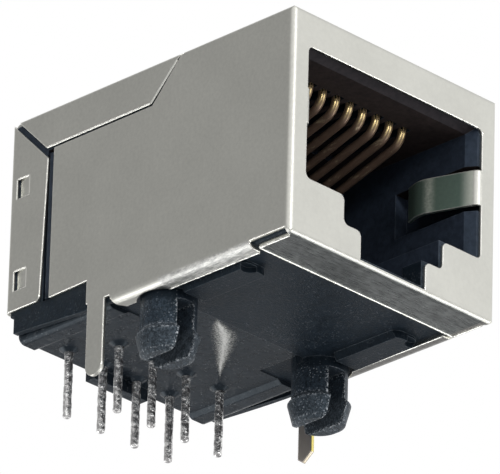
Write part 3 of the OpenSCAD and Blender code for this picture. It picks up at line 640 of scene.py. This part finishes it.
def make_tinned_wire():
    """Dipped solder on the pins: crinkles with painted highlights between dull dark streaks. The
    side that faces forward and to the right is painted darkest, as a painted dark reflection."""
    material, n, shader = new_finish("tinned_wire", 0.86)
    b = n.group(BEARINGS)
    streaks = n.group(BRUSHED_GRAIN, Place=b["Place"], Stretch=(5.0, 5.0, 0.9))
    crinkle = n.group(FINE_MOTTLE, Place=b["Place"], Size=0.26, Spread=0.12)
    rear_row = n.band(b["Y"], low=REAR_ROW_FRONT, high=REAR_ROW_REAR)
    facing = n.add("ShaderNodeNewGeometry").outputs["Normal"]
    # The side facing forward and to the right is painted dark, a painted reflection of dark
    # surroundings
    lee = n.smooth(n.vector("DOT_PRODUCT", facing, (0.55, -0.83, 0.0)), 0.15, 0.8)
    patches = n.mix(rear_row, n.smooth(crinkle["Height"], 0.49, 0.44),
                    n.smooth(streaks["Grain"], 0.55, 0.35))
    dull_and_painted_dark = n.times(patches, n.mix(lee, n.mix(rear_row, 0.30, 0.04), 0.85))
    colour = n.colour(dull_and_painted_dark, n.shade(SOLDER, crinkle["Shade"]), SOLDER_DULL_AND_PAINTED_DARK)
    # Painted highlights on the crinkles' tops
    colour = n.colour(n.smooth(crinkle["Height"], 0.52, 0.55), colour, SOLDER_HIGHLIGHT)
    n.feed(shader["Base Color"], colour)
    n.feed(shader["Roughness"], n.mix(dull_and_painted_dark, 0.22, 0.40))
    edges = n.group(ROUNDED_EDGES, Radius=0.03)
    n.feed(shader["Normal"], n.bump(crinkle["Height"], 0.07, edges["Normal"]))
    return material


def make_cut_edge():
    """The bright burr that a shearing tool leaves on plated sheet."""
    material, n, shader = new_finish("cut_edge", 1.0)
    b = n.group(BEARINGS)
    edges = n.group(ROUNDED_EDGES, Radius=0.03)
    mottle = n.group(FINE_MOTTLE, Place=b["Place"], Size=0.25, Spread=0.15)
    n.feed(shader["Base Color"], n.shade(BURR, mottle["Shade"]))
    n.feed(shader["Roughness"], n.plus(n.times(mottle["Height"], 0.2), 0.15))
    n.feed(shader["Normal"], n.bump(mottle["Height"], 0.02, edges["Normal"]))
    return material


def make_resin():
    """Dark clear resin, dusted with flux: pale specks and grey patches."""
    material, n, shader = new_finish("resin", Specular_IOR_Level=0.4)
    b = n.group(BEARINGS)
    edges = n.group(ROUNDED_EDGES, Radius=0.03)
    mottle = n.group(FINE_MOTTLE, Place=b["Place"], Size=0.3, Spread=0.25)
    specks = n.group(SPECKS, Place=b["Place"], Size=0.12, Amount=0.35)
    colour = n.colour(n.smooth(mottle["Height"], 0.48, 0.62), RESIN_BLACK, RESIN_GREY)
    colour = n.colour(n.times(specks["Mask"], 0.8), colour, FLUX)
    n.feed(shader["Base Color"], colour)
    n.feed(shader["Roughness"], n.smooth(mottle["Height"], 0.4, 0.6, 0.12, 0.35))
    n.feed(shader["Normal"], n.bump(mottle["Height"], 0.05, edges["Normal"]))
    return material


def make_plain_finish(name, pale, dark, size, metallic, rough):
    """A finish for the parts inside: two shades in blotches of a size, edges a little paler."""
    material, n, shader = new_finish(name, metallic)
    b = n.group(BEARINGS)
    edges = n.group(ROUNDED_EDGES)
    mottle = n.group(FINE_MOTTLE, Place=b["Place"], Size=size, Spread=0.1)
    colour = n.colour(n.smooth(mottle["Height"], 0.35, 0.65), dark, pale)
    paler = tuple(1 - (1 - c) * 0.85 for c in pale)
    colour = n.colour(n.times(edges["Edge"], 0.5), colour, paler)
    n.feed(shader["Base Color"], n.shade(colour, mottle["Shade"]))
    n.feed(shader["Roughness"], n.smooth(mottle["Height"], 0.35, 0.65, *rough))
    n.feed(shader["Normal"], n.bump(mottle["Height"], 0.01, edges["Normal"]))
    return material


# The parts inside: pale and dark shade, size of the blotches, metallic, least and most rough
PLAIN_FINISHES = {
    "board_laminate": ((0.04, 0.20, 0.09), (0.02, 0.13, 0.055), 0.5, 0.0, (0.25, 0.4)),
    "ferrite": ((0.07, 0.07, 0.075), (0.035, 0.035, 0.04), 0.25, 0.0, (0.5, 0.7)),
    "transformer_wire": ((0.70, 0.28, 0.12), (0.50, 0.17, 0.07), 0.3, 1.0, (0.2, 0.35)),
    "choke_wire": ((0.18, 0.36, 0.12), (0.10, 0.22, 0.07), 0.3, 1.0, (0.2, 0.35)),
    "resistor_body": ((0.04, 0.04, 0.045), (0.02, 0.02, 0.022), 0.2, 0.0, (0.3, 0.5)),
    "capacitor_body": ((0.46, 0.33, 0.20), (0.34, 0.23, 0.13), 0.3, 0.0, (0.4, 0.6)),
}
FINISHES = {
    "plated_sheet": make_plated_sheet(),
    "black_moulding": make_black_moulding(),
    "glossy_moulding": make_glossy_moulding(),
    "gold_wire": make_gold_wire(),
    "tinned_wire": make_tinned_wire(),
    "resin": make_resin(),
}
for name, values in PLAIN_FINISHES.items():
    FINISHES[name] = make_plain_finish(name, *values)
CUT_EDGE = make_cut_edge()


# ---------------------------------------------------------------- pieces of their own

ROUND = 2 * math.pi
# Points round a pin and its collar, and round a burr
PIN_AROUND, BURR_AROUND = 40, 12
# The first pin's draws come from one more than these seeds
PIN_SEED, COLLAR_SEED = 40, 70
# A dipped pin, in millimetres: its bare radius, the length of its rounded tip and how much wider
# its root is. Its waves: size, length and turns round the pin
PIN_RADIUS, PIN_TIP, PIN_ROOT = 0.232, 0.16, 0.03
PIN_WAVES = ((0.006, 1.9, 1), (0.005, 0.8, 2), (0.004, 0.45, 1), (0.003, 0.27, 3))
# A collar, in millimetres: the height it springs from, inner and outer radius, and depth
COLLAR_BASE, COLLAR_INNER, COLLAR_RIM, COLLAR_DEPTH = BASE_UNDERSIDE - 0.001, 0.2, 0.43, 0.08


def skin_of_rings(name, rings):
    """Joins rings of points, listed from the bottom up, into a closed skin: four-sided faces
    between neighbouring rings, and a fan to a middle point at each end."""
    count, around = rings.shape[:2]
    index = np.arange(count * around).reshape(count, around)
    low, high = index[:-1], index[1:]
    sides = np.stack([low, np.roll(low, -1, 1), np.roll(high, -1, 1), high], -1).reshape(-1, 4)
    foot, head = count * around, count * around + 1
    feet = np.stack([np.full(around, foot), np.roll(index[0], -1), index[0]], -1)
    heads = np.stack([np.full(around, head), index[-1], np.roll(index[-1], -1)], -1)
    points = np.concatenate([rings.reshape(-1, 3), rings[:1].mean(1), rings[-1:].mean(1)])
    mesh = bpy.data.meshes.new(name)
    mesh.from_pydata((points * MM).tolist(), [], sides.tolist() + feet.tolist() + heads.tolist())
    mesh.polygons.foreach_set("use_smooth", np.ones(len(mesh.polygons), dtype=bool))
    piece = bpy.data.objects.new(name, mesh)
    bpy.context.scene.collection.objects.link(piece)
    return piece


def finish_piece(piece, slot, material=None):
    piece.data.materials.append(material or FINISHES[slot])
    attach(piece, "root")


def smooth_step(value, start, end):
    share = np.clip((value - start) / (end - start), 0, 1)
    return share * share * (3 - 2 * share)


def angles(count):
    """Evenly spaced angles round one turn."""
    return np.linspace(0, ROUND, count, endpoint=False)


def any_phase(draws):
    """A draw from nought to about one turn."""
    return draws.uniform(0, 6.28)


def circles(centre, radius, a, z):
    """Rings of points about an upright line: centre + radius (cos a, sin a), at height z."""
    return np.stack([centre[0] + radius * np.cos(a), centre[1] + radius * np.sin(a), z + 0 * a], -1)


def dipped_pin(number):
    """A pin as the solder bath left it. Its radius at height z and angle a is the bare radius,
    plus slow waves A sin(2 pi z / length + turns a + phase) that die out at the base, plus a
    swollen root that comes in by a smooth step. A quarter circle rounds the tip."""
    low, high = box_mm("pin_%d" % number)
    centre = (low + high)[:2] / 2
    draws = np.random.default_rng(PIN_SEED + number)
    tip_end = low[2] + PIN_TIP
    z = np.concatenate([low[2] + PIN_TIP * (1 - np.cos(np.linspace(0.12, math.pi / 2, 9))),
                        np.linspace(tip_end, high[2], 150)[1:]])[:, None]
    a = angles(PIN_AROUND)[None, :]
    waves = sum(size * np.sin(ROUND * z / length + turns * a + any_phase(draws))
                for size, length, turns in PIN_WAVES)
    free = 1 - smooth_step(z, 0.2, 0.7)
    radius = PIN_RADIUS + waves * free + PIN_ROOT * smooth_step(z, -0.1, 0.7)
    radius = radius * np.sqrt(np.clip(1 - ((tip_end - z) / PIN_TIP).clip(0) ** 2, 0, 1))
    piece = skin_of_rings("dipped_pin_%d" % number, circles(centre, radius, a, z))
    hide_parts("pin_%d" % number)
    finish_piece(piece, "tinned_wire")


def root_collar(number):
    """Resin drawn down round a pin's root. Over the share q of the way from the pin out to a
    slightly wavy rim, it stands off the base by h (1 + cos(pi q)) / 2, so it runs out level. A
    last ring inside the base closes it."""
    low, high = box_mm("pin_%d" % number)
    centre = (low + high)[:2] / 2
    draws = np.random.default_rng(COLLAR_SEED + number)
    a = angles(PIN_AROUND)[None, :]
    rim = (COLLAR_RIM + 0.03 * np.sin(2 * a + any_phase(draws))
           + 0.025 * np.sin(3 * a + any_phase(draws)))
    q = np.linspace(0, 1, 14)[:, None]
    uneven = 1 + 0.08 * np.sin(a + any_phase(draws))
    z = COLLAR_BASE - COLLAR_DEPTH * (1 + np.cos(q * math.pi)) / 2 * uneven
    rings = circles(centre, COLLAR_INNER + (rim - COLLAR_INNER) * q, a, z)
    closing = circles(centre, rim, a, COLLAR_BASE + 0.1)
    piece = skin_of_rings("root_collar_%d" % number, np.concatenate([rings, closing]))
    finish_piece(piece, "resin")


def rolled_edge(name, corners, across, radius, wander=0.2):
    """A burr rolled over a cut edge: a circle carried along the line through the corners. Its
    radius wanders by slow waves and shrinks by a quarter circle at each end. Across is the
    direction square to the line's plane."""
    corners, across = np.array(corners, dtype=float), np.array(across, dtype=float)
    runs = np.linalg.norm(np.diff(corners, axis=0), axis=1)
    marks = np.concatenate([[0.0], np.cumsum(runs)])
    ends = np.array([0.05, 0.4, 0.8]) * radius
    s = np.concatenate([ends, np.arange(radius, marks[-1] - radius, 0.1), marks[-1] - ends[::-1]])
    line = np.stack([np.interp(s, marks, corners[:, i]) for i in range(3)], -1)
    ahead = np.gradient(line, s, axis=0)
    ahead /= np.linalg.norm(ahead, axis=1)[:, None]
    out = np.cross(ahead, across)
    up = np.cross(ahead, out)
    wave = np.sin(7.1 * s + 1.0) + np.sin(3.3 * s) + np.sin(13.7 * s + 2.0)
    close = np.clip(np.minimum(s, marks[-1] - s) / radius, 0, 1)
    size = radius * (1 + wander * wave / 3) * np.sqrt(1 - (1 - close) ** 2)
    a = angles(BURR_AROUND)[None, :, None]
    circle = np.cos(a) * out[:, None] + np.sin(a) * up[:, None]
    rings = line[:, None] + size[:, None, None] * circle
    finish_piece(skin_of_rings(name, rings), "plated_sheet", CUT_EDGE)


def roll_cut_edges():
    """The cut edges that show bright: round the strip, along both lips, under the top flap, and
    round the two punched catches of the left side; and a bright bead along the pin base's front, a
    painted highlight."""
    upright, sideways = (0, 0, 1), (1, 0, 0)
    behind_front, strip_rear = SHEET_FRONT + 0.4, SHEET_FRONT + STRIP_DEPTH
    outline = [(-STRIP_HALF, behind_front), (-STRIP_HALF, strip_rear),
               (STRIP_HALF, strip_rear), (STRIP_HALF, behind_front)]
    rolled_edge("strip_burr", [(x, y, SHEET_UNDERSIDE) for x, y in outline], upright, 0.055)
    for name, x, radius, wander in (("right_lip_burr", LIP_EDGE, 0.05, 0.2),
                                    ("left_lip_burr", -LIP_EDGE, 0.045, 0.5)):
        ends = [(x, strip_rear + 0.4, SHEET_UNDERSIDE), (x, LIP_END, SHEET_UNDERSIDE)]
        rolled_edge(name, ends, upright, radius, wander)
    radius = 0.055
    rolled_edge("flap_burr", [(SHEET_LEFT + radius, y, z) for y, z in FLAP_CORNERS],
                sideways, radius, 0.08)
    # A bright bead along the plastic pin base's front edge, standing in as a painted highlight
    rolled_edge("base_highlight_bead", [(x, BASE_FRONT, BASE_UNDERSIDE)
                              for x in (BASE_HIGHLIGHT_LEFT, BASE_HIGHLIGHT_RIGHT)], upright, 0.03, 0.9)
    radius, lap = 0.035, 0.02
    for name, foot in CATCH_FEET.items():
        top, bottom = foot + CATCH_HEIGHT + lap, foot - lap
        outline = [(CATCH_REAR, top), (CATCH_FRONT, top), (CATCH_FRONT, bottom),
                   (CATCH_REAR, bottom)]
        rolled_edge(name, [(SHEET_LEFT + radius, y, z) for y, z in outline], sideways, radius)


def make_floor():
    corners = [(x * FLOOR_HALF, y * FLOOR_HALF, FLOOR_Z)
               for x, y in ((-1, -1), (1, -1), (1, 1), (-1, 1))]
    mesh = bpy.data.meshes.new("floor")
    mesh.from_pydata(corners, [], [(0, 1, 2, 3)])
    floor = bpy.data.objects.new("floor", mesh)
    bpy.context.scene.collection.objects.link(floor)
    mesh.materials.append(make_floor_paper())


make_camera()
make_world()
make_floor()
for name, (direction, distance, side, power) in LAMPS.items():
    make_lamp(name, direction, distance, side, power)

for part in frame["record"]["subparts"]:
    node = NODES[part["node"]]
    node.data.materials.clear()
    node.data.materials.append(FINISHES[part["material_slot"]])

for number in range(1, 9):
    dipped_pin(number)
    root_collar(number)
roll_cut_edges()

bpy.context.scene.view_settings.view_transform = "Standard"
